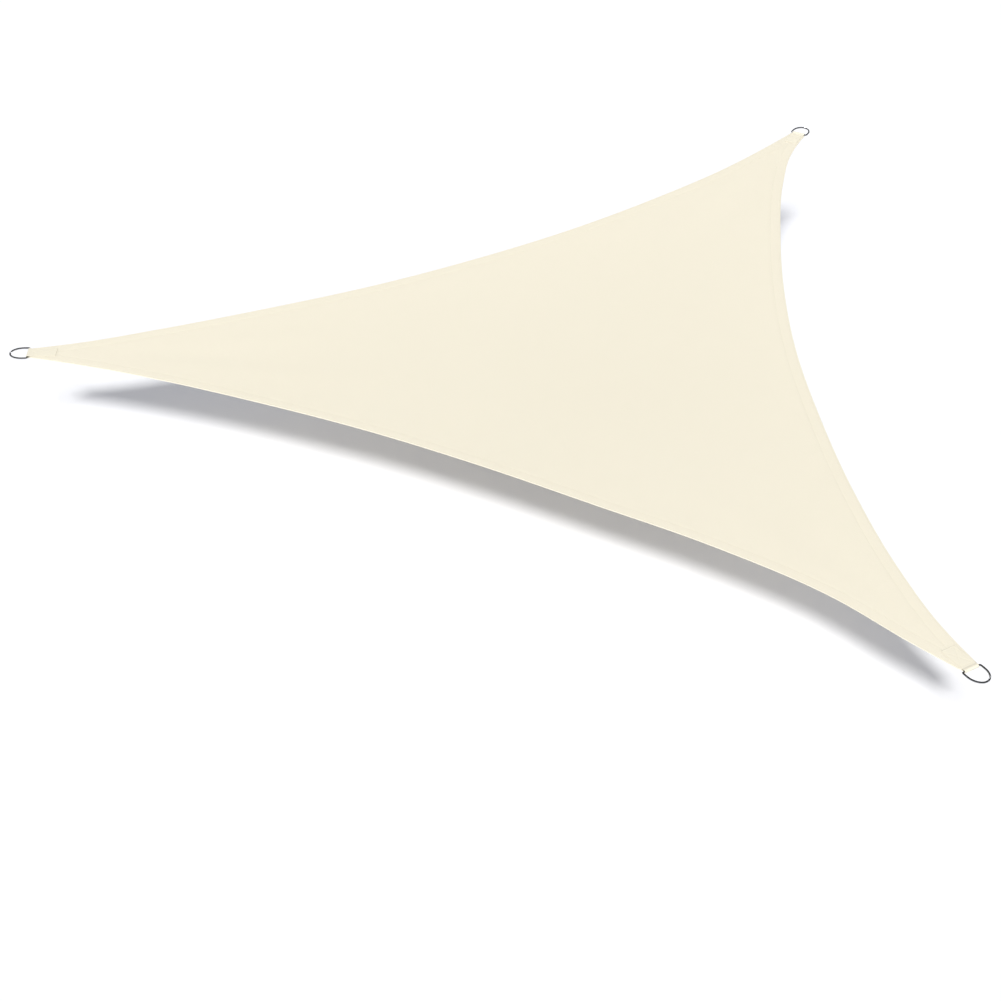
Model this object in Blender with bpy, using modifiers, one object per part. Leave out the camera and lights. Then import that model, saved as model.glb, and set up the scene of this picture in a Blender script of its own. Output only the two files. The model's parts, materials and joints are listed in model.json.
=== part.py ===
"""A triangular shade sail of hemmed cloth, held taut at a steel D-ring on each of its three corners.

Metres, +Z up. The origin is where a hook bears inside the left ring's bow. From there +X runs along the
sail's middle, through its centre to the edge between the other two rings.
"""

import math
from collections import namedtuple

import bmesh
import bpy
import numpy as np

NAME = "shade_sail"

# The triangle that the three rings pull out, from the outer end of one ring to the next.
RING_SPAN = 3.0
RING_CIRCLE = RING_SPAN / math.sqrt(3)
CORNERS = {"left": 180.0, "far": 60.0, "near": -60.0}

# The D-ring, bent from round wire: a straight bar, two short straight sides and a long rounded bow.
WIRE = 0.005
RING_INNER_WIDTH = 0.052
RING_LENGTH = 0.060
RING_BOW = 0.037
RING_BAR_BEND = 0.006
RING_HALF_WIDTH = (RING_INNER_WIDTH + WIRE) / 2
BAR_REACH = RING_LENGTH - WIRE / 2

# The cloth, measured inwards from a ring's outer end, and its hem folded under along every edge.
CLOTH_END_REACH = 0.066
CLOTH_END_WIDTH = 0.052
CLOTH_THICKNESS = 0.0015
HEM_THICKNESS = 0.003
HEM_WIDTH = 0.040
HEM_STEP = 0.003
BELLY = 0.030

# The webbing strap folded round the bar, with a tail sewn on each face of the cloth.
WEBBING_WIDTH = 0.044
WEBBING_THICKNESS = 0.002
WEBBING_TAIL = 0.075
GAP = 0.0003

# How far each edge is cut in from the straight line between its ends, at shares of its way along.
Section = namedtuple("Section", "share left_to_far far_to_near near_to_left")
EDGE_HOLLOW = [
    Section(0.000, 0.000, 0.000, 0.000),
    Section(0.050, 0.043, 0.067, 0.040),
    Section(0.125, 0.085, 0.125, 0.110),
    Section(0.250, 0.138, 0.182, 0.163),
    Section(0.375, 0.177, 0.218, 0.178),
    Section(0.500, 0.191, 0.230, 0.188),
    Section(0.625, 0.185, 0.213, 0.178),
    Section(0.750, 0.153, 0.178, 0.141),
    Section(0.875, 0.097, 0.117, 0.085),
    Section(0.950, 0.043, 0.059, 0.038),
    Section(1.000, 0.000, 0.000, 0.000),
]
EDGES = {"left_to_far": ("left", "far"), "far_to_near": ("far", "near"), "near_to_left": ("near", "left")}

# How finely the cloth and the wire are divided.
EDGE_STEPS = 26
END_STEPS = 4
HEM_ROWS = 3
FIELD_ROWS = 8
BOW_STEPS = 18
BEND_STEPS = 4
WRAP_STEPS = 12
TAIL_STEPS = 6
LIFT_STEPS = 5
WEBBING_STEPS_ACROSS = 4
WIRE_ROUNDNESS = 4
SEARCH_STEP = 0.0001
MERGE = 0.00001

CREAM = (0.870, 0.815, 0.670)
STEEL = (0.560, 0.565, 0.570)


def start_empty():
    """Removes whatever the file holds, so that the sail is alone in it."""
    for obj in list(bpy.data.objects):
        bpy.data.objects.remove(obj)


def material(name, colour, roughness, metallic):
    made = bpy.data.materials.new(name)
    made.use_nodes = True
    shader = made.node_tree.nodes["Principled BSDF"]
    shader.inputs["Base Color"].default_value = (*colour, 1.0)
    shader.inputs["Roughness"].default_value = roughness
    shader.inputs["Metallic"].default_value = metallic
    return made


def add(collection, name, data, parent):
    """Puts a mesh or a curve in the sail's collection, at its parent's place."""
    obj = bpy.data.objects.new(name, data)
    collection.objects.link(obj)
    obj.parent = parent
    return obj


def empty(collection, name, location, turn, parent=None):
    obj = add(collection, name, None, parent)
    obj.location = location
    obj.rotation_euler = (0.0, 0.0, turn)
    return obj


# The shape of the cloth, seen from above. Its own origin is the centre of the ring triangle.


def outward(corner):
    """The direction in which a corner's ring pulls."""
    turn = math.radians(CORNERS[corner])
    return np.array([math.cos(turn), math.sin(turn)])


def end_of_cloth(corner, towards):
    """The end of the cloth's short edge at one corner, on the side that faces another corner."""
    pull = outward(corner)
    across = np.array([-pull[1], pull[0]])
    side = math.copysign(CLOTH_END_WIDTH / 2, across @ outward(towards))
    return pull * (RING_CIRCLE - CLOTH_END_REACH) + across * side


def hollow(edge, share):
    """The edge's hollow at any share of its way, as a smooth curve through the table's sections."""
    shares = np.array([section.share for section in EDGE_HOLLOW])
    depths = np.array([getattr(section, edge) for section in EDGE_HOLLOW])
    lengths = np.diff(shares)
    rises = np.diff(depths) / lengths
    slopes = np.empty_like(depths)
    slopes[1:-1] = (rises[:-1] * lengths[1:] + rises[1:] * lengths[:-1]) / (lengths[:-1] + lengths[1:])
    slopes[0] = 2 * rises[0] - slopes[1]
    slopes[-1] = 2 * rises[-1] - slopes[-2]
    at = np.clip(np.searchsorted(shares, share, side="right") - 1, 0, len(lengths) - 1)
    length = lengths[at]
    u = (share - shares[at]) / length
    start = (1 + 2 * u) * (1 - u) ** 2 * depths[at] + u * (1 - u) ** 2 * length * slopes[at]
    finish = u**2 * (3 - 2 * u) * depths[at + 1] - u**2 * (1 - u) * length * slopes[at + 1]
    return start + finish


def edge_curve(edge, shares):
    """Points along one hollow edge, from its first corner to its second."""
    first, second = EDGES[edge]
    start = end_of_cloth(first, second)
    chord = end_of_cloth(second, first) - start
    inward = np.array([chord[1], -chord[0]]) / np.linalg.norm(chord)
    return start + np.outer(shares, chord) + np.outer(hollow(edge, shares), inward)


def edge_shares(steps):
    """Shares along an edge, closer together towards the corners, where it bends most."""
    even = np.linspace(0.0, 1.0, steps + 1)
    return (even + (1 - np.cos(math.pi * even)) / 2) / 2


def outline():
    """The cloth's outline, clockwise from above: each short corner edge, then the long edge after it."""
    points = []
    for edge, (first, second) in EDGES.items():
        before = next(a for a, b in EDGES.values() if b == first)
        short_edge_start = end_of_cloth(first, before)
        short_edge_run = end_of_cloth(first, second) - short_edge_start
        for step in range(END_STEPS):
            points.append(short_edge_start + short_edge_run * step / END_STEPS)
        points.extend(edge_curve(edge, edge_shares(EDGE_STEPS))[:-1])
    return np.array(points)


def distance_to_edges(point):
    """How far a point of the cloth lies from the nearest of its three long edges."""
    nearest = math.inf
    for edge in EDGES:
        curve = edge_curve(edge, edge_shares(EDGE_STEPS))
        start, run = curve[:-1], np.diff(curve, axis=0)
        share = np.clip(((point - start) * run).sum(1) / (run * run).sum(1), 0.0, 1.0)
        away = np.linalg.norm(point - start - share[:, None] * run, axis=1)
        nearest = min(nearest, away.min())
    return nearest


def share_inside(point, depth):
    """How far to go from an outline point towards the centre, as a share, to be depth clear of the edges."""
    low, high = 0.0, 1.0
    while high - low > SEARCH_STEP:
        middle = (low + high) / 2
        if distance_to_edges(point * (1 - middle)) < depth:
            low = middle
        else:
            high = middle
    return high


def sag(x, y):
    """How far the cloth hangs below the rings' plane: nothing on the triangle's sides, most at its centre."""
    spans = [1 + 2 * (x * outward(c)[0] + y * outward(c)[1]) / RING_CIRCLE for c in CORNERS]
    return BELLY * math.prod(spans)


def cloth_rows():
    """The cloth's rows, from the outline through both sides of the hem's step to the centre."""
    edge = outline()
    hem_in = np.array([share_inside(p, HEM_WIDTH - HEM_STEP / 2) for p in edge])
    hem_out = np.array([share_inside(p, HEM_WIDTH + HEM_STEP / 2) for p in edge])
    shares = [hem_in * row / HEM_ROWS for row in range(HEM_ROWS + 1)]
    shares += [hem_out + (1 - hem_out) * row / FIELD_ROWS for row in range(FIELD_ROWS + 1)]
    return [edge * (1 - share[:, None]) for share in shares]


def sail_cloth(collection, centre, fabric):
    """A grid wrapped round the outline and drawn in to the centre. Its thickness and its hem lie below it."""
    rows = cloth_rows()
    around = len(rows[0])
    bm = bmesh.new()
    bmesh.ops.create_grid(bm, x_segments=around, y_segments=len(rows) - 1, size=0.5)
    hem = bm.verts.layers.deform.verify()
    for vert in bm.verts:
        step = round((vert.co.x + 0.5) * around) % around
        row = round((vert.co.y + 0.5) * (len(rows) - 1))
        x, y = rows[row][step]
        vert.co = (x, y, HEM_THICKNESS / 2 - sag(x, y))
        vert[hem][0] = 1.0 if row <= HEM_ROWS else 0.0
    bmesh.ops.remove_doubles(bm, verts=bm.verts, dist=MERGE)
    bmesh.ops.reverse_faces(bm, faces=bm.faces)
    mesh = bpy.data.meshes.new("sail_cloth")
    bm.to_mesh(mesh)
    bm.free()
    mesh.materials.append(fabric)
    mesh.shade_smooth()
    cloth = add(collection, "sail_cloth", mesh, centre)
    group = cloth.vertex_groups.new(name="hem")
    shell = cloth.modifiers.new("thickness", "SOLIDIFY")
    shell.thickness = HEM_THICKNESS
    shell.offset = -1.0
    shell.vertex_group = group.name
    shell.thickness_vertex_group = CLOTH_THICKNESS / HEM_THICKNESS
    return cloth


# The corner fittings, in their corner's own axes: +X pulls outwards, and the origin is the ring's outer end.


def arc(middle, reach, first, last, steps):
    """Points on a round or elliptic arc, from one angle to another. Its reach is that along X and along Y."""
    turns = np.radians(np.linspace(first, last, steps + 1))
    return [(middle[0] + reach[0] * math.cos(a), middle[1] + reach[1] * math.sin(a)) for a in turns]


def ring_wire(steel):
    """The middle line of the D-ring's wire, as a closed curve with the wire's thickness."""
    bend = (RING_BAR_BEND, RING_BAR_BEND)
    bend_x = -BAR_REACH + RING_BAR_BEND
    bend_y = RING_HALF_WIDTH - RING_BAR_BEND
    path = arc((-WIRE / 2 - RING_BOW, 0.0), (RING_BOW, RING_HALF_WIDTH), -90.0, 90.0, BOW_STEPS)
    path += arc((bend_x, bend_y), bend, 90.0, 180.0, BEND_STEPS)
    path += arc((bend_x, -bend_y), bend, 180.0, 270.0, BEND_STEPS)
    wire = bpy.data.curves.new("ring_wire", "CURVE")
    wire.dimensions = "3D"
    wire.bevel_depth = WIRE / 2
    wire.bevel_resolution = WIRE_ROUNDNESS
    spline = wire.splines.new("POLY")
    spline.points.add(len(path) - 1)
    for point, (x, y) in zip(spline.points, path):
        point.co = (x, y, 0.0, 1.0)
    spline.use_cyclic_u = True
    wire.materials.append(steel)
    return wire


def webbing_path():
    """The strap's middle line seen from the side: up one tail, round the bar and back along the other."""
    tail_height = HEM_THICKNESS / 2 + GAP + WEBBING_THICKNESS / 2
    wrap_radius = WIRE / 2 + GAP + WEBBING_THICKNESS / 2
    tail_end = -CLOTH_END_REACH - WEBBING_TAIL
    lift_start = -CLOTH_END_REACH - GAP
    tail = [(x, tail_height) for x in np.linspace(tail_end, lift_start, TAIL_STEPS + 1)]
    lift = []
    for step in range(1, LIFT_STEPS):
        share = step / LIFT_STEPS
        rise = (1 - math.cos(math.pi * share)) / 2
        x = lift_start + (-BAR_REACH - lift_start) * share
        lift.append((x, tail_height + (wrap_radius - tail_height) * rise))
    upper = tail + lift
    wrap = arc((-BAR_REACH, 0.0), (wrap_radius, wrap_radius), 90.0, -90.0, WRAP_STEPS)
    return upper + wrap + [(x, -z) for x, z in reversed(upper)]


def webbing_strap(fabric):
    """The strap as a strip along its path, lying on the cloth's own sag."""
    path = webbing_path()
    bm = bmesh.new()
    across = WEBBING_STEPS_ACROSS
    bmesh.ops.create_grid(bm, x_segments=len(path) - 1, y_segments=across, size=0.5)
    for vert in bm.verts:
        x, z = path[round((vert.co.x + 0.5) * (len(path) - 1))]
        y = vert.co.y * WEBBING_WIDTH
        vert.co = (x, y, z - sag(-RING_CIRCLE - x, y))
    mesh = bpy.data.meshes.new("webbing_strap")
    bm.to_mesh(mesh)
    bm.free()
    mesh.materials.append(fabric)
    return mesh


def webbing_loop(collection, corner, strap, parent):
    loop = add(collection, f"{corner}_webbing_loop", strap, parent)
    shell = loop.modifiers.new("thickness", "SOLIDIFY")
    shell.thickness = WEBBING_THICKNESS
    shell.offset = 0.0
    shell.use_even_offset = True
    return loop


def build():
    start_empty()
    collection = bpy.data.collections.new(NAME)
    bpy.context.scene.collection.children.link(collection)
    cream_cloth = material("cream_cloth", CREAM, 0.85, 0.0)
    cream_webbing = material("cream_webbing", CREAM, 0.80, 0.0)
    polished_steel = material("polished_steel", STEEL, 0.25, 1.0)
    centre = empty(collection, "sail_centre", (RING_CIRCLE - WIRE, 0.0, 0.0), 0.0)
    sail_cloth(collection, centre, cream_cloth)
    strap = webbing_strap(cream_webbing)
    wire = ring_wire(polished_steel)
    for corner, turn in CORNERS.items():
        pull = outward(corner) * RING_CIRCLE
        place = empty(collection, f"{corner}_corner", (*pull, 0.0), math.radians(turn), centre)
        webbing_loop(collection, corner, strap, place)
        add(collection, f"{corner}_ring", wire, place)


build()
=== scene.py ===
# %% [markdown]
# # A shade sail, held taut by its three rings
#
# A shade sail is one sheet of cloth with hollow-cut edges. Ropes or hooks pull at a steel ring on each of
# its corners, and the hollow edges turn that pull into an even tension, so that the cloth hangs without a
# fold. The solids of this sail are already made. This lesson dresses them: a finely divided
# cloth with a real folded hem, its sewing, the webbing that holds the rings, and the wire itself.
# Everything is in metres, in the frame that the solids share.

import json
import math
from collections import namedtuple

import bpy
import numpy as np
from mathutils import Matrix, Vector


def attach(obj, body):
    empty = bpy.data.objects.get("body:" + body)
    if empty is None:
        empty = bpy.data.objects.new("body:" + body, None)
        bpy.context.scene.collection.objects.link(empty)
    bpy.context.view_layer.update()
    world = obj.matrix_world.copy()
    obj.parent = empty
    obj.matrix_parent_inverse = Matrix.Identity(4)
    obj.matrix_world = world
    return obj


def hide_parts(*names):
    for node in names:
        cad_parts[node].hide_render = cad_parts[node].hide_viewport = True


MM = 0.001

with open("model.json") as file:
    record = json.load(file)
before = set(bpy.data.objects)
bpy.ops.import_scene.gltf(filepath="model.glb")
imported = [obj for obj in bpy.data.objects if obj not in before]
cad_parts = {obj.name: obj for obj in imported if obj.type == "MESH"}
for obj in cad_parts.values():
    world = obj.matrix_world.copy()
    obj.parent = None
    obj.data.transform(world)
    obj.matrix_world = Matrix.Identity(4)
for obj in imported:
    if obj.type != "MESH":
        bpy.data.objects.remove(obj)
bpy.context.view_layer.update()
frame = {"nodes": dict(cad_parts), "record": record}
print("solids:", ", ".join(sorted(frame["nodes"])))

# %% [markdown]
# ## Where the corners are
#
# The frame names one fixing inside the bow of each ring. Everything else follows from these three points:
# their mean is the middle of the sail, and the line from there through a fixing is the way that corner is
# pulled. Reading them from the frame keeps every new piece on its solid, with nothing to fit by eye.

# %% Find the middle and the pulls
WIRE = 5 * MM

mounts = frame["record"]["mounts"]
fixings = {mount["name"].removesuffix("_fixing"): np.array(mount["pos_m"][:2]) for mount in mounts}
middle = np.mean(list(fixings.values()), axis=0)
ring_circle = np.linalg.norm(fixings["left"] - middle) + WIRE
pulls = {corner: (at - middle) / np.linalg.norm(at - middle) for corner, at in fixings.items()}
print(f"middle at {middle.round(4)}, ring ends {ring_circle:.4f} m from it")

# %% [markdown]
# ## The camera
#
# The photograph looks down on the sail from one of its sides, about two fifths of the way from level to
# straight down. The place and the lens were worked out from the three ring ends and the run of the edges,
# so the sail fills the frame here as it does there.

# %% Set up the camera
CAMERA_AT = (1.3888, -4.8197, 3.0145)
CAMERA_DOWN = math.radians(36.594)
CAMERA_TO_THE_RIGHT = math.radians(0.876)
LENS_MM = 68
SENSOR_MM = 36
FARTHEST_SEEN = 500

lens = bpy.data.cameras.new("camera")
lens.lens = LENS_MM
lens.sensor_width = SENSOR_MM
lens.sensor_fit = "HORIZONTAL"
lens.clip_end = FARTHEST_SEEN
camera = bpy.data.objects.new("camera", lens)
camera.location = CAMERA_AT
camera.rotation_euler = (math.pi / 2 - CAMERA_DOWN, 0.0, -CAMERA_TO_THE_RIGHT)
bpy.context.scene.collection.objects.link(camera)
bpy.context.scene.camera = camera
print(f"camera {CAMERA_AT[2]:.2f} m up, looking {math.degrees(CAMERA_DOWN):.1f} degrees down")

# %% [markdown]
# ## Helpers for nodes and meshes
#
# A finish is a small network of nodes, and a piece is a mesh made of computed points. A few short helpers
# keep both readable. Those for nodes add a node and fill all of its sockets in a single call. The last one
# turns points and faces into a smooth object.

# %% Add nodes


def add_node(tree, kind, settings=(), **sockets):
    """Adds a node and fills its sockets, each with a value or with another node's output.

    A socket is named with _ for a space, or as input_ and its number where sockets share a name.
    """
    made = tree.nodes.new(kind)
    for name, value in dict(settings).items():
        setattr(made, name, value)
    for name, value in sockets.items():
        if name.startswith("input_"):
            socket = made.inputs[int(name.removeprefix("input_"))]
        else:
            socket = made.inputs[name.replace("_", " ")]
        if isinstance(value, bpy.types.NodeSocket):
            tree.links.new(value, socket)
        else:
            socket.default_value = value
    return made


def add_math(tree, operation, *values, clamped=False):
    """The outcome of a Math node for its values."""
    settings = {"operation": operation, "use_clamp": clamped}
    sockets = {f"input_{number}": value for number, value in enumerate(values)}
    return add_node(tree, "ShaderNodeMath", settings, **sockets).outputs[0]


def blend_colours(tree, share, first, second):
    """The first colour where the share is 0, the second where it is 1."""
    settings = {"data_type": "RGBA"}
    blend = add_node(tree, "ShaderNodeMix", settings, Factor=share, input_6=first, input_7=second)
    return blend.outputs[2]


def spread(tree, share, ends):
    """A share from 0 to 1, spread between two ends."""
    return add_node(tree, "ShaderNodeMapRange", Value=share, To_Min=ends[0], To_Max=ends[1]).outputs[0]


# %% Start a finish and its surface


def new_finish(name):
    """A new material, its nodes and its main shader."""
    finish = bpy.data.materials.new(name)
    finish.use_nodes = True
    return finish, finish.node_tree, finish.node_tree.nodes["Principled BSDF"]


Relief = namedtuple("Relief", "height rise strength")


def dress_surface(tree, shader, colour, roughness, relief):
    """Gives the shader its colour, its roughness and a bump as high as the relief's rise."""
    tree.links.new(colour, shader.inputs["Base Color"])
    tree.links.new(roughness, shader.inputs["Roughness"])
    bump = add_node(
        tree, "ShaderNodeBump", Strength=relief.strength, Distance=relief.rise, Height=relief.height
    )
    tree.links.new(bump.outputs["Normal"], shader.inputs["Normal"])


# %% Add a piece


def new_piece(name, points, faces, finish):
    """A smooth object from points and faces."""
    mesh = bpy.data.meshes.new(name)
    mesh.from_pydata([tuple(p) for p in points], [], faces)
    mesh.materials.append(finish)
    mesh.shade_smooth()
    piece = bpy.data.objects.new(name, mesh)
    bpy.context.scene.collection.objects.link(piece)
    triangles = sum(len(face) - 2 for face in faces)
    print(f"{name}: {len(points)} points, {triangles} triangles")
    return piece


# %% [markdown]
# ## The floor and the light
#
# The photograph shows the sail hovering over a white ground, with a soft shadow that looks a little smaller
# than the sail. Both follow from a ground some 40 cm below and a lamp halfway up the sky at the front: the
# shadow then falls behind the sail, further from the camera. The ground also falls by 9 cm a metre to the
# back and by 3 cm to the right, which all but hides the shadow's far tip behind the cloth.
#
# The lamp's width sets how soft the shadow's rim is. The sky fills the shadow to a middle grey, and a trace
# of blue glow in the ground takes out the warmth that the cream cloth throws on it. Rays that leave the
# camera and miss everything see plain white. Polished steel is drawn by the dark things around it, so for
# reflections alone the sky is dim and the lamp is left out, and a small lamp behind the sail, seen only in
# reflections, gives the near ring its highlight.

# %% Lay the floor
FLOOR_DROP = 0.405
FLOOR_FALL = (0.032, 0.09)
FLOOR_REACH = 150.0
FLOOR_WHITE = (0.862, 0.862, 0.868, 1.0)
FLOOR_GLOW = (0.002, 0.010, 0.042, 1.0)

floor_finish, _, floor_shader = new_finish("white_floor")
floor_shader.inputs["Base Color"].default_value = FLOOR_WHITE
floor_shader.inputs["Roughness"].default_value = 1.0
floor_shader.inputs["Specular IOR Level"].default_value = 0.0
floor_shader.inputs["Emission Color"].default_value = FLOOR_GLOW
floor_shader.inputs["Emission Strength"].default_value = 1.0
low, high = -FLOOR_REACH, FLOOR_REACH
floor_plan = [(low, low), (high, low), (high, high), (low, high)]
floor_corners = [(*at, -FLOOR_DROP - np.dot(FLOOR_FALL, at - middle)) for at in floor_plan]
floor = new_piece("floor", floor_corners, [(0, 1, 2, 3)], floor_finish)

# %% Light it
SKY = 0.46
SKY_SEEN = 1.05
SKY_IN_STEEL = 0.06
LAMP = 3.41
LAMP_WIDTH = math.radians(7.5)
LAMP_FROM = (-0.127, -0.936, 1.0)
LAMP_HEIGHT = 6.0
GLINT = 120.0
GLINT_SIZE = 0.8
GLINT_AWAY = 7.0
GLINT_FROM = (0.135, 0.763, 0.632)

world = bpy.data.worlds.new("studio")
bpy.context.scene.world = world
world.use_nodes = True
sky = world.node_tree
ray = sky.nodes.new("ShaderNodeLightPath")
seen = add_node(sky, "ShaderNodeMix", A=SKY, B=SKY_SEEN, Factor=ray.outputs["Is Camera Ray"])
dimmed = add_node(
    sky, "ShaderNodeMix", A=seen.outputs["Result"], B=SKY_IN_STEEL, Factor=ray.outputs["Is Glossy Ray"]
)
background = sky.nodes["Background"]
background.inputs["Color"].default_value = (1.0, 1.0, 1.0, 1.0)
sky.links.new(dimmed.outputs["Result"], background.inputs["Strength"])

lamp_light = bpy.data.lights.new("sun_lamp", "SUN")
lamp_light.energy = LAMP
lamp_light.angle = LAMP_WIDTH
lamp = bpy.data.objects.new("sun_lamp", lamp_light)
lamp.location = (*middle, LAMP_HEIGHT)
lamp.rotation_euler = Vector(LAMP_FROM).to_track_quat("Z", "Y").to_euler()
lamp.visible_glossy = False
bpy.context.scene.collection.objects.link(lamp)

glint_light = bpy.data.lights.new("glint_lamp", "AREA")
glint_light.energy = GLINT
glint_light.size = GLINT_SIZE
glint = bpy.data.objects.new("glint_lamp", glint_light)
towards = Vector(GLINT_FROM)
glint.location = Vector((*middle, 0.0)) + GLINT_AWAY * towards
glint.rotation_euler = towards.to_track_quat("Z", "Y").to_euler()
glint.visible_diffuse = False
glint.visible_camera = False
bpy.context.scene.collection.objects.link(glint)
bpy.context.scene.view_settings.view_transform = "Standard"
print(f"floor {FLOOR_DROP / MM:.0f} mm below the middle, lamp {math.degrees(LAMP_WIDTH):.1f} degrees wide")

# %% [markdown]
# ## The outline of the cloth
#
# A sailmaker cuts each edge as a hollow curve, deepest near its middle. The table gives how far each edge
# is cut in from the straight line between its ends, at shares of its way along. The three columns differ a
# little, because no two edges of a sewn sail hang quite alike. A smooth curve is then drawn through each
# column, and short straight ends at the corners close the outline, clockwise from above.

# %% The table of the edges
Section = namedtuple("Section", "share left_to_far far_to_near near_to_left")
EDGE_HOLLOW = [
    Section(0.000, 0.000, 0.000, 0.000),
    Section(0.050, 0.043, 0.067, 0.040),
    Section(0.125, 0.085, 0.125, 0.110),
    Section(0.250, 0.138, 0.182, 0.163),
    Section(0.375, 0.177, 0.218, 0.178),
    Section(0.500, 0.191, 0.230, 0.188),
    Section(0.625, 0.185, 0.213, 0.178),
    Section(0.750, 0.153, 0.178, 0.141),
    Section(0.875, 0.097, 0.117, 0.085),
    Section(0.950, 0.043, 0.059, 0.038),
    Section(1.000, 0.000, 0.000, 0.000),
]
EDGES = {"left_to_far": ("left", "far"), "far_to_near": ("far", "near"), "near_to_left": ("near", "left")}
deepest = {edge: max(getattr(section, edge) for section in EDGE_HOLLOW) for edge in EDGES}
print("deepest hollows:", ", ".join(f"{edge} {depth / MM:.0f} mm" for edge, depth in deepest.items()))

# %% A smooth curve through the table
CLOTH_END_REACH = 66 * MM
CLOTH_END_WIDTH = 52 * MM


def end_of_cloth(corner, towards):
    """The end of the cloth's short edge at one corner, on the side that faces another corner."""
    pull = pulls[corner]
    across = np.array([-pull[1], pull[0]])
    side = math.copysign(CLOTH_END_WIDTH / 2, across @ pulls[towards])
    return pull * (ring_circle - CLOTH_END_REACH) + across * side


def hollow(edge, share):
    """The edge's hollow at any share of its way, as a smooth curve through the table's sections."""
    shares = np.array([section.share for section in EDGE_HOLLOW])
    depths = np.array([getattr(section, edge) for section in EDGE_HOLLOW])
    lengths = np.diff(shares)
    rises = np.diff(depths) / lengths
    slopes = np.empty_like(depths)
    slopes[1:-1] = (rises[:-1] * lengths[1:] + rises[1:] * lengths[:-1]) / (lengths[:-1] + lengths[1:])
    slopes[0] = 2 * rises[0] - slopes[1]
    slopes[-1] = 2 * rises[-1] - slopes[-2]
    at = np.clip(np.searchsorted(shares, share, side="right") - 1, 0, len(lengths) - 1)
    length = lengths[at]
    u = (share - shares[at]) / length
    start = (1 + 2 * u) * (1 - u) ** 2 * depths[at] + u * (1 - u) ** 2 * length * slopes[at]
    end = u**2 * (3 - 2 * u) * depths[at + 1] - u**2 * (1 - u) * length * slopes[at + 1]
    return start + end


# %% Draw the outline
EDGE_STEPS = 520
END_STEPS = 12


def edge_curve(edge):
    """Points along one hollow edge, from its first corner to its second, about the sail's middle."""
    first, second = EDGES[edge]
    shares = np.linspace(0.0, 1.0, EDGE_STEPS + 1)
    start = end_of_cloth(first, second)
    chord = end_of_cloth(second, first) - start
    inward = np.array([chord[1], -chord[0]]) / np.linalg.norm(chord)
    return start + np.outer(shares, chord) + np.outer(hollow(edge, shares), inward)


def draw_outline():
    """Each short corner edge, then the long edge after it."""
    points = []
    for edge, (first, second) in EDGES.items():
        before = next(a for a, b in EDGES.values() if b == first)
        short_start = end_of_cloth(first, before)
        short_run = end_of_cloth(first, second) - short_start
        points.extend(short_start + short_run * step / END_STEPS for step in range(END_STEPS))
        points.extend(edge_curve(edge)[:-1])
    return np.array(points)


outline = draw_outline()
outline_runs = np.roll(outline, -1, axis=0) - outline
outline_lengths = np.linalg.norm(outline_runs, axis=1)
around_outline = np.cumsum(outline_lengths) - outline_lengths
print(f"outline: {len(outline)} points, {outline_lengths.sum():.2f} m round")

# %% [markdown]
# ## How the cloth hangs
#
# Pulled this hard, the cloth hangs only some 30 mm lower in its middle than at the corners. Three straight
# lines, one through each pair of rings, multiplied together give just such a belly: nothing on the
# triangle's sides and most in its centre. A taut cloth also shows very low ridges, where the pull runs out
# of a corner into the sail. They are listed in the table, under a millimetre high.

# %% The belly and the ridges
BELLY = 30 * MM
Ridge = namedtuple("Ridge", "corner degrees height width start reach")
RIDGES = [
    Ridge("left", 7.5, 0.6 * MM, 9 * MM, 0.20, 1.10),
    Ridge("left", -1.5, -0.5 * MM, 12 * MM, 0.25, 0.80),
    Ridge("left", -8.0, 0.7 * MM, 10 * MM, 0.18, 1.30),
    Ridge("far", 9.0, 0.6 * MM, 9 * MM, 0.22, 0.90),
    Ridge("far", 1.0, -0.5 * MM, 13 * MM, 0.25, 1.00),
    Ridge("far", -7.0, 0.7 * MM, 10 * MM, 0.18, 1.20),
    Ridge("near", 8.0, 0.7 * MM, 10 * MM, 0.18, 1.25),
    Ridge("near", -0.5, -0.4 * MM, 12 * MM, 0.28, 0.75),
    Ridge("near", -9.5, 0.6 * MM, 9 * MM, 0.20, 1.05),
]
RIDGE_SPREAD = 0.045


def sag(points):
    """How far the cloth hangs below the plane of the rings."""
    spans = [1 + 2 * (points @ pull) / ring_circle for pull in pulls.values()]
    return BELLY * math.prod(spans)


def ridge_height(points, ridge):
    """One low ridge: a line out of its corner that swells and fades along its way and widens as it goes."""
    turn = math.radians(ridge.degrees)
    inward = -pulls[ridge.corner]
    way = np.array([[math.cos(turn), -math.sin(turn)], [math.sin(turn), math.cos(turn)]]) @ inward
    from_corner = points - pulls[ridge.corner] * (ring_circle - CLOTH_END_REACH)
    along = from_corner @ way
    aside = from_corner @ np.array([-way[1], way[0]])
    share = np.clip((along - ridge.start) / (ridge.reach - ridge.start), 0.0, 1.0)
    width = ridge.width + RIDGE_SPREAD * np.maximum(along, 0.0)
    return ridge.height * np.sin(math.pi * share) ** 2 * np.exp(-((aside / width) ** 2))


def hang(points):
    """The height of the cloth's middle layer over the plane of the rings, below zero where it hangs."""
    return sum(ridge_height(points, ridge) for ridge in RIDGES) - sag(points)


print(f"the middle hangs {-hang(np.zeros((1, 2)))[0] / MM:.1f} mm low")

# %% [markdown]
# ## The cloth and its hem
#
# Each edge is folded under and sewn down by two rows of stitches, one near the fold and one near the hem's
# inner edge. The thread bites into the cloth there, and the fabric between the rows puckers slightly. A
# mesh of rows suits this well: the rows follow the outline at chosen depths, close together where the fold,
# the sewing and the hem's step need them, and then run in to the middle. Rows near the middle need fewer
# points, so the count is halved twice on the way. The skin goes over the top, round the fold and back
# below.

# %% How deep a point lies inside the outline
WINDOW = 60
HALVINGS = 15
DEEPEST_SHARE = 0.5


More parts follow.
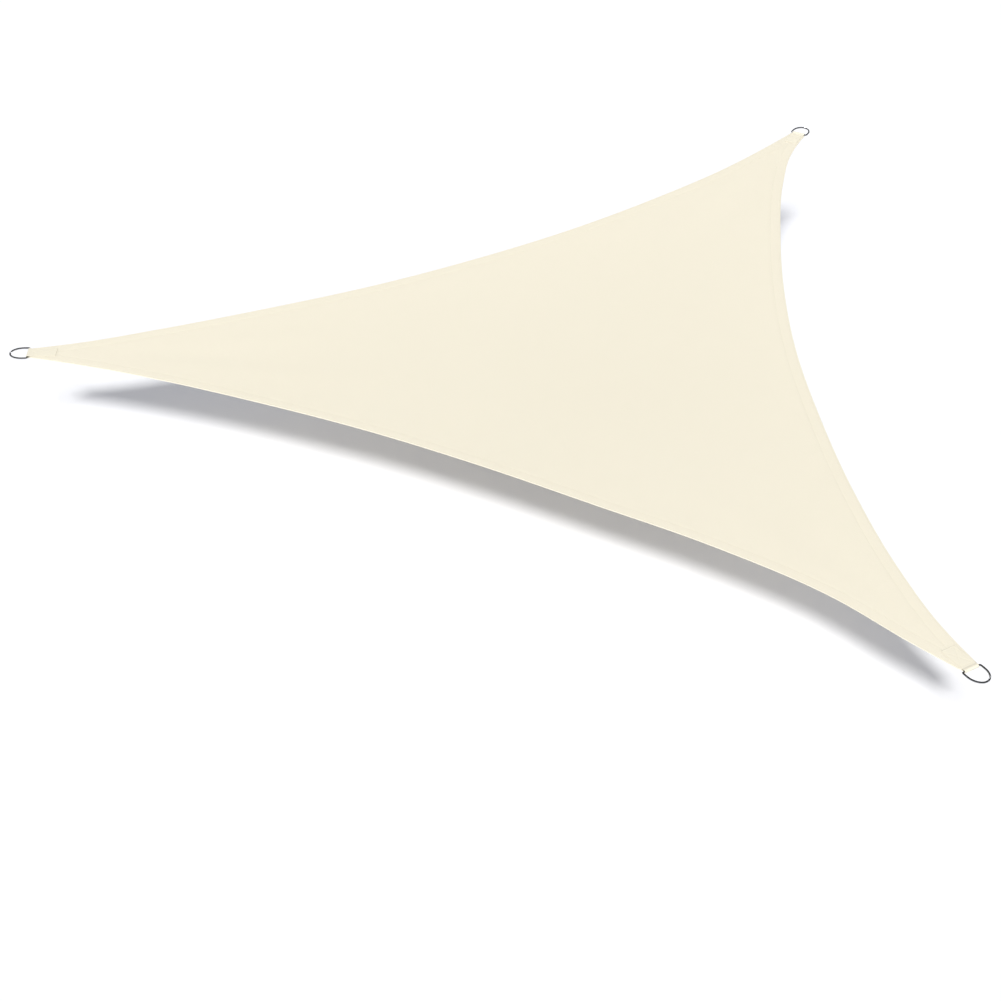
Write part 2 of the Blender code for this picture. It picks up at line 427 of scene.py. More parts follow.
def depth_of(points, near):
    """Each point's distance from the outline, measured to the outline steps that near names for it."""
    start, run = outline[near], outline_runs[near]
    offset = points[:, None, :] - start
    share = np.clip((offset * run).sum(-1) / (run * run).sum(-1), 0.0, 1.0)
    return np.linalg.norm(offset - share[..., None] * run, axis=-1).min(axis=1)


steps_round = np.arange(len(outline))
close_by = (steps_round[:, None] + np.arange(-WINDOW, WINDOW + 1)) % len(outline)


def shares_at(depth):
    """How far to go from each outline point towards the middle, as a share, to be that deep inside."""
    low, high = np.zeros(len(outline)), np.full(len(outline), DEEPEST_SHARE)
    for _ in range(HALVINGS):
        halfway = (low + high) / 2
        shallow = depth_of(outline * (1 - halfway[:, None]), close_by) < depth
        low = np.where(shallow, halfway, low)
        high = np.where(shallow, high, halfway)
    return high if depth > 0 else np.zeros(len(outline))


# %% The section through the hem
HEM_THICKNESS = 3 * MM
CLOTH_THICKNESS = 1 * MM
FOLD_ROUNDING = 1.6 * MM
STITCH_ROWS = (5 * MM, 34 * MM)
BITE = 0.30 * MM
BITE_WIDTH = 2.2 * MM
HEM_DEPTHS_MM = (1.6, 2.4, 3.7, 5.0, 6.3, 8.0, 12.0, 19.0, 27.0, 31.0, 32.7, 34.0, 35.3, 37.0)
HEM_DEPTHS = [depth * MM for depth in HEM_DEPTHS_MM]
FIELD_START = 41 * MM
FOLD_TURNS = (60, 30, 0, -30, -60)
Lip = namedtuple("Lip", "depth height")
HEM_LIP = [
    Lip(38.6 * MM, -1.50 * MM),
    Lip(39.6 * MM, -1.20 * MM),
    Lip(40.0 * MM, -0.55 * MM),
    Lip(40.2 * MM, 0.45 * MM),
]


def bite(depth):
    """How far the thread pulls the cloth in at a depth."""
    return BITE * sum(math.exp(-(((depth - row) / BITE_WIDTH) ** 2)) for row in STITCH_ROWS)


# %% The puckers between the stitches
Pucker = namedtuple("Pucker", "length height start")
PUCKERS = [
    Pucker(17 * MM, 0.05 * MM, 0.4),
    Pucker(26 * MM, 0.08 * MM, 2.1),
    Pucker(43 * MM, 0.07 * MM, 4.4),
]
PUCKER_FADE = (0.12, 0.40)
PUCKER_RUNS_ON = 0.05
PUCKER_DECAY = 3


def pucker_strength(depth):
    """Puckers stand between the two rows of stitches and die away beyond the hem."""
    outer, inner = STITCH_ROWS
    if depth <= outer:
        return 0.0
    if depth <= inner:
        return math.sin(math.pi * (depth - outer) / (inner - outer)) ** 2
    beyond = (depth - inner) / PUCKER_RUNS_ON
    return beyond * math.exp(1 - PUCKER_DECAY * beyond)


def pucker_wave():
    """The rise and fall of the puckers round the outline. The strong pull at the corners flattens them."""
    turns = 2 * math.pi * around_outline
    wave = sum(part.height * np.sin(turns / part.length + part.start) for part in PUCKERS)
    from_corners = [np.linalg.norm(outline - pull * ring_circle, axis=1) for pull in pulls.values()]
    from_corner = np.min(from_corners, axis=0)
    fade_start, fade_end = PUCKER_FADE
    share = np.clip((from_corner - fade_start) / (fade_end - fade_start), 0.0, 1.0)
    return wave * share * share * (3 - 2 * share)


puckers = pucker_wave()
print(f"the hem puckers by up to {abs(puckers).max() / MM:.2f} mm")

# %% The rows, from the middle over the fold and back below
FIELD_ROWS = 20
Stage = namedtuple("Stage", "until every")
FIELD_STAGES = [Stage(0.30, 1), Stage(0.60, 2), Stage(1.00, 4)]
FIELD_FADE = 8


def above(points, depth, wave):
    """Heights of the upper face, for a row at one depth."""
    return HEM_THICKNESS / 2 + hang(points) + wave * pucker_strength(depth) - bite(depth)


def below_hem(points, depth, wave):
    """Heights of the hem's lower face, for a row at one depth."""
    return -HEM_THICKNESS / 2 + hang(points) + wave * pucker_strength(depth) + bite(depth)


def field_row(row, start_shares):
    """One row between the hem and the middle, thinned out in the stages nearer to the middle."""
    share = row / FIELD_ROWS
    every = next(stage.every for stage in FIELD_STAGES if share <= stage.until)
    if row == FIELD_ROWS:
        return np.zeros((1, 2)), np.zeros(1)
    inside = start_shares + (1 - start_shares) * share
    fade = math.exp(-FIELD_FADE * share)
    return (outline * (1 - inside[:, None]))[::every], (puckers * fade)[::every]


def cloth_rows():
    """Every row of the skin as points with heights, in order from the top's middle to the underside's."""
    hem_shares = {depth: shares_at(depth) for depth in HEM_DEPTHS}
    start_shares = shares_at(FIELD_START)
    top_field, bottom_field = [], []
    for row in range(FIELD_ROWS, -1, -1):
        points, wave = field_row(row, start_shares)
        height = above(points, FIELD_START, wave)
        top_field.append((points, height))
        bottom_field.append((points, height - CLOTH_THICKNESS))
    top_hem, bottom_hem = [], []
    for depth in HEM_DEPTHS:
        points = outline * (1 - hem_shares[depth][:, None])
        top_hem.append((points, above(points, depth, puckers)))
        bottom_hem.append((points, below_hem(points, depth, puckers)))
    fold = []
    for turn in map(math.radians, FOLD_TURNS):
        shares = shares_at(FOLD_ROUNDING * (1 - math.cos(turn)))
        points = outline * (1 - shares[:, None])
        fold.append((points, hang(points) + HEM_THICKNESS / 2 * math.sin(turn)))
    lip = []
    for part in HEM_LIP:
        points = outline * (1 - shares_at(part.depth)[:, None])
        lip.append((points, hang(points) + part.height))
    return top_field + top_hem[::-1] + fold + bottom_hem + lip + bottom_field[::-1]


# %% Join the rows into one skin


def join_rows(one, other):
    """Faces between two closed rows of point numbers, of which one may have half as many, or one point."""
    faces = []
    if len(one) == 1:
        return [(one[0], other[(i + 1) % len(other)], other[i]) for i in range(len(other))]
    if len(other) == 1:
        return [(one[i], one[(i + 1) % len(one)], other[0]) for i in range(len(one))]
    count = min(len(one), len(other))
    for i in range(count):
        after = (i + 1) % count
        if len(one) == len(other):
            faces.append((one[i], one[after], other[after], other[i]))
        elif len(one) == 2 * count:
            a, b, c = one[2 * i], one[2 * i + 1], one[2 * after]
            faces += [(a, b, other[i]), (b, other[after], other[i]), (b, c, other[after])]
        else:
            a, b, c = other[2 * i], other[2 * i + 1], other[2 * after]
            faces += [(one[i], b, a), (one[i], one[after], b), (one[after], c, b)]
    return faces


def skin(rows):
    """The points and faces of a skin through all rows."""
    points, faces, before = [], [], None
    for flat, height in rows:
        numbers = range(len(points), len(points) + len(flat))
        points.extend((x + middle[0], y + middle[1], z) for (x, y), z in zip(flat, height))
        if before is not None:
            faces += join_rows(before, numbers)
        before = numbers
    return points, faces


# %% [markdown]
# ## The cloth's finish
#
# The cloth is a tight plain weave of cream polyester. One thread passes over and under the next, which two
# crossed sine waves describe: the size of their product is a fine checker of rounded threads. It is far
# smaller than any mesh step, so it stays in the finish, where it drives a bump and paints shade into the
# gaps between the threads. The dye is almost even. A slow cloudiness over the whole sail and a little fleck
# from thread to thread keep it from looking like painted card, a soft sheen stands for the fibres that
# catch light at a low angle, and a little light passes through.

# %% Mix the cream cloth
CREAM = (0.893, 0.843, 0.699, 1.0)
CREAM_DEEP = (0.880, 0.828, 0.683, 1.0)
LIGHT_LET_THROUGH = 0.18
THROUGH_THREADS = (0.95, 0.95, 0.95, 1.0)
# Painted shade: the gaps between the threads are darkened to this colour.
SHADE_BETWEEN_THREADS = (0.723, 0.672, 0.543, 1.0)
GAP_SHARE = 0.28
THREAD_PITCH = 1.0 * MM
THREAD_RISE = 0.10 * MM
THREAD_BUMP = 0.5
CLOUD = {"Scale": 1.7, "Detail": 3.0, "Roughness": 0.55}
FLECK = {"Scale": 420.0, "Detail": 1.0}
FLECK_WEIGHT = 0.35
FLECK_OFFSET = -0.17
CLOTH_ROUGHNESS = (0.80, 0.90)
CLOTH_SPECULAR = 0.25
CLOTH_SHEEN = 0.12
CLOTH_SHEEN_ROUGHNESS = 0.45


def crossed_threads(tree, place, pitch):
    """Heights of a plain weave, from -1 to 1: the product of one sine wave along X and one along Y."""
    scale = {"operation": "SCALE"}
    waves = add_node(tree, "ShaderNodeVectorMath", scale, Vector=place, Scale=math.pi / pitch)
    axes = add_node(tree, "ShaderNodeSeparateXYZ", Vector=waves.outputs[0])
    across = add_math(tree, "SINE", axes.outputs["X"])
    along = add_math(tree, "SINE", axes.outputs["Y"])
    return add_math(tree, "MULTIPLY", across, along)


def mix_cloth():
    """The cloth's material: its dye, its weave with painted shade in its gaps, and the light it lets
    through.
    """
    finish, tree, shader = new_finish("cream_cloth_woven")
    place = tree.nodes.new("ShaderNodeTexCoord").outputs["Object"]
    cloud = add_node(tree, "ShaderNodeTexNoise", Vector=place, **CLOUD).outputs["Fac"]
    fleck = add_node(tree, "ShaderNodeTexNoise", Vector=place, **FLECK).outputs["Fac"]
    flecked = add_math(tree, "MULTIPLY_ADD", fleck, FLECK_WEIGHT, FLECK_OFFSET)
    shade = add_math(tree, "ADD", cloud, flecked, clamped=True)
    dyed = blend_colours(tree, shade, CREAM, CREAM_DEEP)
    rise = add_math(tree, "ABSOLUTE", crossed_threads(tree, place, THREAD_PITCH))
    on_thread = add_node(tree, "ShaderNodeMapRange", Value=rise, From_Max=GAP_SHARE).outputs[0]
    # Painted shade in the gaps between the threads, where the weave is low.
    woven = blend_colours(tree, on_thread, SHADE_BETWEEN_THREADS, dyed)
    rough = spread(tree, fleck, CLOTH_ROUGHNESS)
    dress_surface(tree, shader, woven, rough, Relief(rise, THREAD_RISE, THREAD_BUMP))
    shader.inputs["Specular IOR Level"].default_value = CLOTH_SPECULAR
    shader.inputs["Sheen Weight"].default_value = CLOTH_SHEEN
    shader.inputs["Sheen Roughness"].default_value = CLOTH_SHEEN_ROUGHNESS
    through = add_node(tree, "ShaderNodeBsdfTranslucent", Color=THROUGH_THREADS)
    both = add_node(
        tree,
        "ShaderNodeMixShader",
        input_0=LIGHT_LET_THROUGH,
        input_1=shader.outputs["BSDF"],
        input_2=through.outputs["BSDF"],
    )
    tree.links.new(both.outputs[0], tree.nodes["Material Output"].inputs["Surface"])
    return finish


# %% Lay the cloth
cream_cloth = mix_cloth()
rows = cloth_rows()
cloth_points, cloth_faces = skin(rows)
print(f"the skin runs over {len(rows)} rows, from the top's middle round the fold to the underside's")
cloth = new_piece("sail_cloth_hemmed", cloth_points, cloth_faces, cream_cloth)
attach(cloth, "root")
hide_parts("sail_cloth")

# %% [markdown]
# ## The sewing of the hem
#
# A lockstitch shows as a row of small grains of thread on both faces: each rises out of one needle hole and
# dips into the next. One grain is modelled, and arrays of sums set it along the whole row at once. The rows
# stop where the webbing covers them.

# %% One grain of thread, and a row of them
Grain = namedtuple("Grain", "share width lift")
HEM_GRAIN = [
    Grain(0.0, 0.10 * MM, -0.20 * MM),
    Grain(0.28, 0.40 * MM, 0.22 * MM),
    Grain(0.72, 0.40 * MM, 0.22 * MM),
    Grain(1.0, 0.10 * MM, -0.20 * MM),
]
HEM_PITCH = 4.0 * MM
HEM_STITCH = 3.5 * MM
HEM_GRAIN_SIDES = 3


def walk(path, pitch):
    """Points at even steps along a path, and the direction of the path at each."""
    lengths = np.linalg.norm(np.diff(path, axis=0), axis=1)
    reached = np.concatenate([[0.0], np.cumsum(lengths)])
    steps = np.arange(0.5, int(reached[-1] / pitch)) * pitch
    places = np.column_stack([np.interp(steps, reached, column) for column in path.T])
    ahead = np.column_stack([np.interp(steps + pitch / 2, reached, column) for column in path.T])
    ways = ahead - places
    return places, ways / np.linalg.norm(ways, axis=1)[:, None]


def grain_section(sides):
    """The directions of a round section's points: how far aside and how far up each lies."""
    turns = np.linspace(0.0, 2 * math.pi, sides, endpoint=False) + math.pi / 2
    return np.column_stack([np.cos(turns), np.sin(turns)])


def sew(places, ways, up, grain, stitch, sides):
    """Grains of thread at places, each along its way and standing off the face by its own lift."""
    ups = np.zeros_like(places)
    ups[:, 2] = up
    asides = np.cross(ups, ways)
    section = grain_section(sides)
    points = []
    for part in grain:
        for aside, rise in section:
            along = (part.share - 0.5) * stitch
            off = part.lift + rise * part.width / 2
            points.append(places + ways * along + asides * (aside * part.width) + ups * off)
    points = np.stack(points, axis=1).reshape(-1, 3)
    one = []
    for ring in range(len(grain) - 1):
        for side in range(sides):
            a, b = ring * sides + side, ring * sides + (side + 1) % sides
            one.append((a, b, b + sides, a + sides) if up > 0 else (a, a + sides, b + sides, b))
    first, last = tuple(range(sides)), tuple(range((len(grain) - 1) * sides, len(grain) * sides))
    one += [first[::-1], last] if up > 0 else [first, last[::-1]]
    per_grain = len(grain) * sides
    faces = [tuple(k + at * per_grain for k in face) for at in range(len(places)) for face in one]
    return points, faces


# %% [markdown]
# ## The strap that holds each ring
#
# A strap of ribbed webbing is folded round the ring's straight bar, and its tails lie on both faces of the
# cloth's corner. Seen from the side it is a path: along the upper tail, up and round the bar, and back. Its
# section, a flat band with rounded selvedges, is swept along that path, thinner in the tails, which the
# sewing presses flat. All three straps are alike, so the mesh is made once, in the corner's own axes: X
# pulls outwards, and zero is the outer end of the ring.

# %% The strap's path
RING_LENGTH = 60 * MM
BAR_REACH = RING_LENGTH - WIRE / 2
STRAP_WIDTH = 44 * MM
STRAP_THICKNESS = 2 * MM
STRAP_TAIL = 75 * MM
GAP = 0.3 * MM
TAIL_THICKNESS = 1.2 * MM
TAIL_GAP = 0.1 * MM
TAIL_STEPS = 60
LIFT_STEPS = 10
WRAP_STEPS = 32


def arc(centre, reach, first, last, steps):
    """Points on a round or elliptic arc from one angle to another, with its reach along X and along Y."""
    turns = np.radians(np.linspace(first, last, steps + 1))
    return [(centre[0] + reach[0] * math.cos(a), centre[1] + reach[1] * math.sin(a)) for a in turns]


def strap_path():
    """The strap from the side, along one tail, round the bar and back: its middle line and thickness."""
    tail_height = HEM_THICKNESS / 2 + TAIL_GAP + TAIL_THICKNESS / 2
    wrap_radius = WIRE / 2 + GAP + STRAP_THICKNESS / 2
    tail_end = -CLOTH_END_REACH - STRAP_TAIL
    lift_start = -CLOTH_END_REACH - GAP
    upper = [(x, tail_height, TAIL_THICKNESS) for x in np.linspace(tail_end, lift_start, TAIL_STEPS + 1)]
    for step in range(1, LIFT_STEPS):
        share = step / LIFT_STEPS
        rise = (1 - math.cos(math.pi * share)) / 2
        x = lift_start + (-BAR_REACH - lift_start) * share
        height = tail_height + (wrap_radius - tail_height) * rise
        upper.append((x, height, TAIL_THICKNESS + (STRAP_THICKNESS - TAIL_THICKNESS) * rise))
    wrap = arc((-BAR_REACH, 0.0), (wrap_radius, wrap_radius), 90.0, -90.0, WRAP_STEPS)
    round_bar = [(x, z, STRAP_THICKNESS) for x, z in wrap]
    lower = [(x, -z, thickness) for x, z, thickness in reversed(upper)]
    return np.array(upper + round_bar + lower)


# %% Where the strap is sewn
BOX_FROM_TAIL = 5 * MM
BOX_FROM_CLOTH_END = 7 * MM
BOX_FROM_SELVEDGE = 4 * MM
BOX_START = -CLOTH_END_REACH - STRAP_TAIL + BOX_FROM_TAIL
BOX_END = -CLOTH_END_REACH - BOX_FROM_CLOTH_END
BOX_HALF = STRAP_WIDTH / 2 - BOX_FROM_SELVEDGE
BOX = [(BOX_START, -BOX_HALF), (BOX_END, -BOX_HALF), (BOX_END, BOX_HALF), (BOX_START, BOX_HALF)]
BOX_SIDES = list(zip(BOX, BOX[1:] + BOX[:1]))
BOX_CROSS = [(BOX[0], BOX[2]), (BOX[1], BOX[3])]
BOX_LINES = BOX_SIDES + BOX_CROSS
STRAP_BITE = 0.35 * MM
STRAP_BITE_WIDTH = 1.6 * MM


def from_box_lines(x, y):
    """The distance of a point of the tail from the nearest line of the box and its cross."""
    point = np.array([x, y])
    nearest = math.inf
    for start, end in BOX_LINES:
        start, run = np.array(start), np.subtract(end, start)
        share = np.clip((point - start) @ run / (run @ run), 0.0, 1.0)
        nearest = min(nearest, np.linalg.norm(point - start - share * run))
    return nearest


def strap_bite(x, y):
    """How far the thread pulls the tail in at a point."""
    return STRAP_BITE * math.exp(-((from_box_lines(x, y) / STRAP_BITE_WIDTH) ** 2))


print(f"box of stitches {(BOX_END - BOX_START) / MM:.0f} x {2 * BOX_HALF / MM:.0f} mm, with its cross")


# %% The strap's section, swept along the path
SELVEDGE_STEPS = 6
ACROSS_STEPS = 40


def strap_section():
    """Points round a flat band: how far across, and how far out or in, as shares of half the thickness."""
    rounding = STRAP_THICKNESS / 2
    half = (STRAP_WIDTH - STRAP_THICKNESS) / 2
    across = np.linspace(-half, half, ACROSS_STEPS + 1)
    turns = np.radians(np.linspace(90, -90, SELVEDGE_STEPS + 1)[1:-1])
    section = [(y, 1.0) for y in across]
    section += [(half + rounding * math.cos(turn), math.sin(turn)) for turn in turns]
    section += [(y, -1.0) for y in across[::-1]]
    section += [(-half - rounding * math.cos(turn), math.sin(turn)) for turn in -turns]
    return section


def strap_mesh_data():
    """The strap's points, faces and, for its weave, each point's place across and along the band."""
    path, thickness = np.split(strap_path(), [2], axis=1)
    section = strap_section()
    ways = np.gradient(path, axis=0)
    ways /= np.linalg.norm(ways, axis=1)[:, None]
    outs = np.column_stack([-ways[:, 1], ways[:, 0]])
    lengths = np.concatenate([[0.0], np.cumsum(np.linalg.norm(np.diff(path, axis=0), axis=1))])
    points, on_band = [], []
    for (x, z), (out_x, out_z), run, band in zip(path, outs, lengths, thickness[:, 0]):
        for across, out in section:
            thick = band / 2 * out
            if out > 0:
                thick -= strap_bite(x, across) * out
            place_x = x + out_x * thick
            low = sag(np.array([[-ring_circle - place_x, across]]))[0]
            points.append((place_x, across, z + out_z * thick - low))
            on_band.append((across, run))
    count = len(section)
    faces = []
    for ring in range(len(path) - 1):
        for k in range(count):
            a, b = ring * count + k, ring * count + (k + 1) % count
            faces.append((a, b, b + count, a + count))
    faces.append(tuple(range(count))[::-1])
    faces.append(tuple(range(len(points) - count, len(points))))
    return points, faces, on_band


def add_map(piece, name, places):
    """Keeps a place on the piece's own surface for each point, for its finish to read."""
    layer = piece.data.uv_layers.new(name=name)
    for loop in piece.data.loops:
        layer.data[loop.index].uv = places[loop.vertex_index]


# %% [markdown]
# ## The strap's finish
#
# Webbing is woven with thick warp threads, which stand as ribs along the strap, and thin picks across them
# that step the ribs into short scales. The grooves between the ribs are painted a darker cream, as shade.
# The map kept on the mesh gives each point's place across and along the band, so that the ribs follow it
# round the bar.

# %% Mix the cream webbing
RIB_PITCH = 2.0 * MM
PICK_PITCH = 1.3 * MM
RIB_RISE = 0.18 * MM
RIB_BUMP = 0.6
PICK_SHARE = 0.25
STRAP_CREAM = (0.770, 0.728, 0.602, 1.0)
# Painted shade: the grooves between the ribs take this darker cream.
STRAP_CREAM_GROOVE_SHADE = (0.746, 0.701, 0.575, 1.0)
STRAP_ROUGHNESS = (0.78, 0.62)
STRAP_SPECULAR = 0.3
STRAP_SHEEN = 0.08


def mix_webbing():
    """The strap's material: ribs along the band, stepped by the picks across it, with painted shade between
    them.
    """
    finish, tree, shader = new_finish("cream_webbing_ribbed")
    band = add_node(tree, "ShaderNodeUVMap", {"uv_map": "band"}).outputs["UV"]
    axes = add_node(tree, "ShaderNodeSeparateXYZ", Vector=band)
    rib_turn = add_math(tree, "MULTIPLY", axes.outputs["X"], math.pi / RIB_PITCH)
    rib = add_math(tree, "SINE", rib_turn)
    rib_height = add_math(tree, "ABSOLUTE", rib)
    lean = add_math(tree, "SIGN", rib)
    pick_turn = add_math(tree, "MULTIPLY", axes.outputs["Y"], 2 * math.pi / PICK_PITCH)
    pick = add_math(tree, "SINE", add_math(tree, "MULTIPLY_ADD", rib_height, lean, pick_turn))
    height = add_math(tree, "MULTIPLY_ADD", pick, PICK_SHARE, rib_height)
    # Painted shade: darker between the ribs, lighter on their crests.
    colour = blend_colours(tree, rib_height, STRAP_CREAM_GROOVE_SHADE, STRAP_CREAM)
    rough = spread(tree, height, STRAP_ROUGHNESS)
    dress_surface(tree, shader, colour, rough, Relief(height, RIB_RISE, RIB_BUMP))
    shader.inputs["Specular IOR Level"].default_value = STRAP_SPECULAR
    shader.inputs["Sheen Weight"].default_value = STRAP_SHEEN
    return finish


# %% Fold a strap round each bar


def at_corner(points, corner):
    """Points made in a corner's own axes, moved to that corner."""
    out, aside = pulls[corner], np.array([-pulls[corner][1], pulls[corner][0]])
    moved = np.array(points, float)
    moved[:, :2] = middle + out * ring_circle + np.outer(moved[:, 0], out) + np.outer(moved[:, 1], aside)
    return moved


cream_webbing = mix_webbing()
strap_points, strap_faces, strap_places = strap_mesh_data()
for corner in pulls:
    strap = new_piece(f"{corner}_strap_ribbed", at_corner(strap_points, corner), strap_faces, cream_webbing)
    add_map(strap, "band", strap_places)
    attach(strap, "root")
    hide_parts(f"{corner}_webbing_loop")

# %% [markdown]
# ## The thread
#
# The thread is a bonded polyester in the cloth's own cream, a touch glossier than the cloth. Its twist is a
# wave that runs slantwise across each grain, and the grooves of the twist are painted a darker cream, as
# shade.

# %% Mix the thread
THREAD_CREAM = (0.785, 0.745, 0.615, 1.0)
# Painted shade: the grooves of the twist take this darker cream.
THREAD_CREAM_GROOVE_SHADE = (0.740, 0.698, 0.570, 1.0)
TWISTS_PER_METRE = 1400.0
TWIST_WANDER = 1.0
TWIST_RISE = 0.05 * MM
TWIST_BUMP = 0.3
THREAD_ROUGHNESS = (0.60, 0.50)
THREAD_SHEEN = 0.1


def mix_thread():
    """The thread's material, with its slanting twist and painted shade in the twist's grooves."""
    finish, tree, shader = new_finish("cream_thread_twisted")
    place = tree.nodes.new("ShaderNodeTexCoord").outputs["Object"]
    wave = {"Vector": place, "Scale": TWISTS_PER_METRE, "Distortion": TWIST_WANDER}
    twist = add_node(tree, "ShaderNodeTexWave", {"bands_direction": "DIAGONAL"}, **wave).outputs["Fac"]
    # Painted shade: darker where the twist is low.
    colour = blend_colours(tree, twist, THREAD_CREAM_GROOVE_SHADE, THREAD_CREAM)
    rough = spread(tree, twist, THREAD_ROUGHNESS)
    dress_surface(tree, shader, colour, rough, Relief(twist, TWIST_RISE, TWIST_BUMP))
    shader.inputs["Sheen Weight"].default_value = THREAD_SHEEN
    return finish


cream_thread = mix_thread()

# %% Sew the hem, on the face and on the underside
STRAP_MARGIN = 1 * MM
ROW_TOLERANCE = 0.2 * MM


def clear_of_straps(points):
    """True for each point that no strap covers."""
    clear = np.ones(len(points), bool)
    tail_start = ring_circle - CLOTH_END_REACH - STRAP_TAIL - HEM_PITCH
    tail_side = STRAP_WIDTH / 2 + STRAP_MARGIN
    for pull in pulls.values():
        out = points @ pull
        aside = abs(points @ np.array([-pull[1], pull[0]]))
        clear &= (out <= tail_start) | (aside >= tail_side)
    return clear


def hem_row(edge, depth):
    """The line of one row of stitches along an edge, less what a strap or the next edge's hem covers."""
    curve = edge_curve(edge)
    ways = np.gradient(curve, axis=0)
    ways /= np.linalg.norm(ways, axis=1)[:, None]
    row = curve + depth * np.column_stack([ways[:, 1], -ways[:, 0]])
    everywhere = np.broadcast_to(steps_round, (len(row), len(outline)))
    inside = depth_of(row, everywhere) > depth - ROW_TOLERANCE
    return row[inside & clear_of_straps(row)]


def sew_hem(name, up):
    """All rows on one face. up is 1 for the upper face and -1 for the underside."""
    points, faces = [], []
    for edge in EDGES:
        for depth in STITCH_ROWS:
            row = hem_row(edge, depth)
            height = up * (HEM_THICKNESS / 2 - BITE) + hang(row)
            places, ways = walk(np.column_stack([row, height]), HEM_PITCH)
            places[:, :2] += middle
            made, joined = sew(places, ways, up, HEM_GRAIN, HEM_STITCH, HEM_GRAIN_SIDES)
            faces += [tuple(k + len(points) for k in face) for face in joined]
            points.extend(made)
    piece = new_piece(name, points, faces, cream_thread)
    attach(piece, "root")
    return piece


hem_sewing = [sew_hem("hem_stitches_above", 1), sew_hem("hem_stitches_below", -1)]

# %% Sew the straps with a box and its cross
STRAP_GRAIN = [
    Grain(0.0, 0.15 * MM, -0.25 * MM),
    Grain(0.18, 0.50 * MM, 0.15 * MM),
    Grain(0.5, 0.60 * MM, 0.32 * MM),
    Grain(0.82, 0.50 * MM, 0.15 * MM),
    Grain(1.0, 0.15 * MM, -0.25 * MM),
]
STRAP_PITCH = 3.4 * MM
STRAP_STITCH = 3.1 * MM
STRAP_GRAIN_SIDES = 6
LINE_POINTS = 40


def sew_strap(name, corner, up):
    """The box and its cross on one tail. up is 1 for the upper tail and -1 for the lower one."""
    points, faces = [], []
    face_height = HEM_THICKNESS / 2 + TAIL_GAP + TAIL_THICKNESS - STRAP_BITE
    for start, end in BOX_LINES:
        line = np.linspace(start, end, LINE_POINTS)
        low = sag(np.column_stack([-ring_circle - line[:, 0], line[:, 1]]))
        places, ways = walk(np.column_stack([line, up * face_height - low]), STRAP_PITCH)
        made, joined = sew(places, ways, up, STRAP_GRAIN, STRAP_STITCH, STRAP_GRAIN_SIDES)
        faces += [tuple(k + len(points) for k in face) for face in joined]
        points.extend(made)
    piece = new_piece(name, at_corner(points, corner), faces, cream_thread)
    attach(piece, "root")


for corner in pulls:
    sew_strap(f"{corner}_strap_stitches_above", corner, 1)
    sew_strap(f"{corner}_strap_stitches_below", corner, -1)

# %% [markdown]
# ## The rings
#
# Each ring is bent from one length of stainless wire: a straight bar that carries the strap, two short
# straight sides and a long rounded bow for the hook. A round section swept along that closed line gives it,
# with more steps round the bends than the solid has, so that highlights run smoothly.

# %% Bend the wire
RING_INNER_WIDTH = 52 * MM
RING_HALF_WIDTH = (RING_INNER_WIDTH + WIRE) / 2
RING_BOW = 37 * MM
RING_BAR_BEND = 6 * MM
BOW_STEPS = 72
BEND_STEPS = 12
SIDE_STEPS = 6
BAR_STEPS = 16
WIRE_SIDES = 24


def straight(start, end, steps):
    """Points between two ends, without the ends."""
    return [tuple(p) for p in np.linspace(start, end, steps + 1)[1:-1]]


def ring_line():
    """The middle line of the wire, once round."""
    bend = (RING_BAR_BEND, RING_BAR_BEND)
    bend_x = -BAR_REACH + RING_BAR_BEND
    bend_y = RING_HALF_WIDTH - RING_BAR_BEND
    bow = arc((-WIRE / 2 - RING_BOW, 0.0), (RING_BOW, RING_HALF_WIDTH), -90.0, 90.0, BOW_STEPS)
    first_bend = arc((bend_x, bend_y), bend, 90.0, 180.0, BEND_STEPS)
    second_bend = arc((bend_x, -bend_y), bend, 180.0, 270.0, BEND_STEPS)
    line = bow + straight(bow[-1], first_bend[0], SIDE_STEPS) + first_bend
    line += straight(first_bend[-1], second_bend[0], BAR_STEPS) + second_bend
    return np.array(line + straight(second_bend[-1], bow[0], SIDE_STEPS))


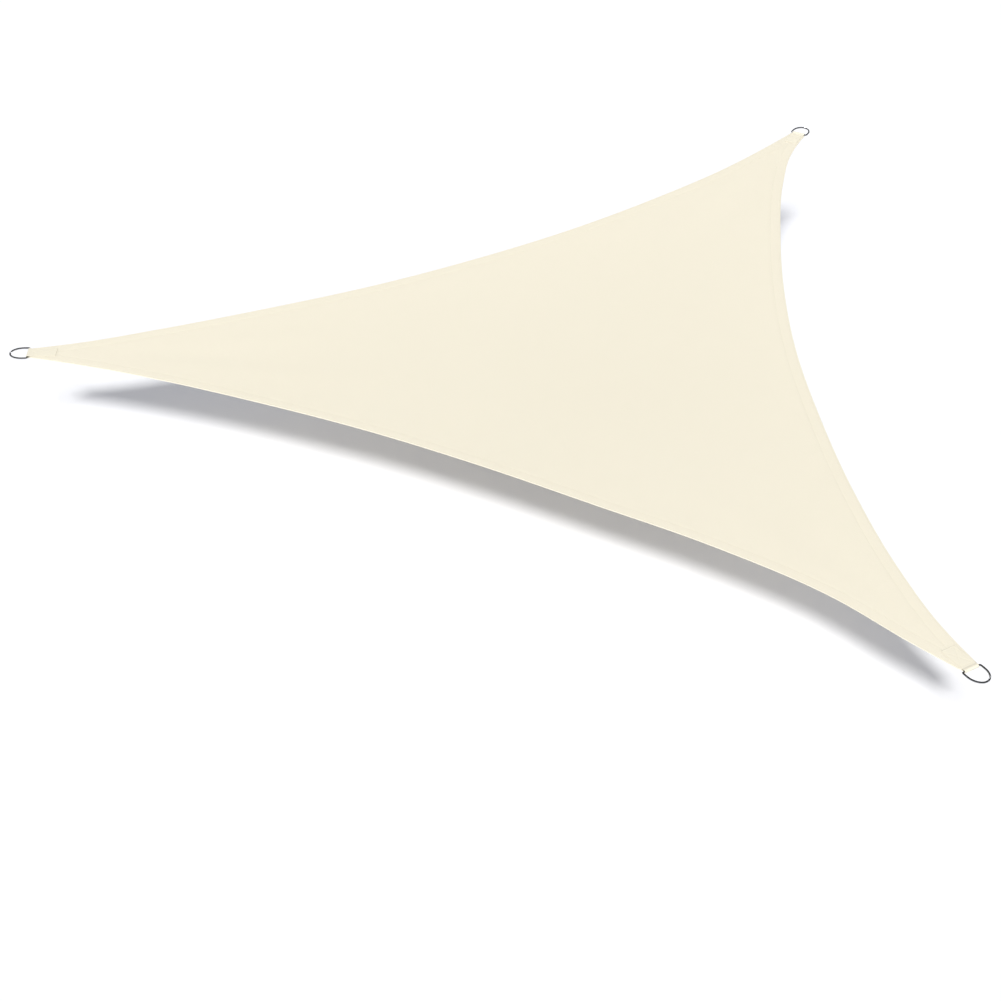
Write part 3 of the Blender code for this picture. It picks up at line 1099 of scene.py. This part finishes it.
def ring_mesh_data():
    """The wire's points, faces and each point's place along and round the wire."""
    line = ring_line()
    ways = np.roll(line, -1, axis=0) - np.roll(line, 1, axis=0)
    ways /= np.linalg.norm(ways, axis=1)[:, None]
    outs = np.column_stack([ways[:, 1], -ways[:, 0]])
    run = np.concatenate([[0.0], np.cumsum(np.linalg.norm(np.diff(line, axis=0), axis=1))])
    turns = np.linspace(0.0, 2 * math.pi, WIRE_SIDES, endpoint=False)
    points, on_wire = [], []
    for (x, y), (out_x, out_y), along in zip(line, outs, run):
        for turn in turns:
            out, up = WIRE / 2 * math.cos(turn), WIRE / 2 * math.sin(turn)
            points.append((x + out_x * out, y + out_y * out, up))
            on_wire.append((along, turn * WIRE / 2))
    faces = []
    for ring in range(len(line)):
        here = ring * WIRE_SIDES
        ahead = (ring + 1) % len(line) * WIRE_SIDES
        for k in range(WIRE_SIDES):
            beside = (k + 1) % WIRE_SIDES
            faces.append((here + k, ahead + k, ahead + beside, here + beside))
    return points, faces, on_wire


wire_line = ring_line()
wire_length = np.linalg.norm(np.roll(wire_line, -1, axis=0) - wire_line, axis=1).sum()
print(f"each ring is bent from {wire_length / MM:.0f} mm of wire")


# %% [markdown]
# ## The rings' finish
#
# Drawn wire keeps faint scratches along its length under the polish. Noise that is stretched along the wire
# gives them: it varies the grey and the roughness a little and lifts a very low bump, so that the highlight
# breaks up into streaks and the steel stays metal.

# %% Mix the steel
STEEL = (0.29, 0.295, 0.305, 1.0)
STEEL_WORN = (0.37, 0.375, 0.38, 1.0)
STREAK_STRETCH = (60.0, 2600.0, 1.0)
STREAK_DETAIL = 3.0
STREAK_RISE = 0.02 * MM
STREAK_BUMP = 0.15
STEEL_ROUGHNESS = (0.14, 0.30)


def mix_steel():
    """The wire's material, streaked along its length."""
    finish, tree, shader = new_finish("ring_steel_drawn")
    wire_map = add_node(tree, "ShaderNodeUVMap", {"uv_map": "wire"}).outputs["UV"]
    multiply = {"operation": "MULTIPLY"}
    stretched = add_node(tree, "ShaderNodeVectorMath", multiply, input_0=wire_map, input_1=STREAK_STRETCH)
    noise = {"Vector": stretched.outputs[0], "Scale": 1.0, "Detail": STREAK_DETAIL}
    streaks = add_node(tree, "ShaderNodeTexNoise", **noise).outputs["Fac"]
    colour = blend_colours(tree, streaks, STEEL, STEEL_WORN)
    rough = spread(tree, streaks, STEEL_ROUGHNESS)
    dress_surface(tree, shader, colour, rough, Relief(streaks, STREAK_RISE, STREAK_BUMP))
    shader.inputs["Metallic"].default_value = 1.0
    return finish


drawn_steel = mix_steel()
ring_points, ring_faces, ring_places = ring_mesh_data()
for corner in pulls:
    ring = new_piece(f"{corner}_ring_drawn", at_corner(ring_points, corner), ring_faces, drawn_steel)
    add_map(ring, "wire", ring_places)
    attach(ring, "root")
    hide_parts(f"{corner}_ring")
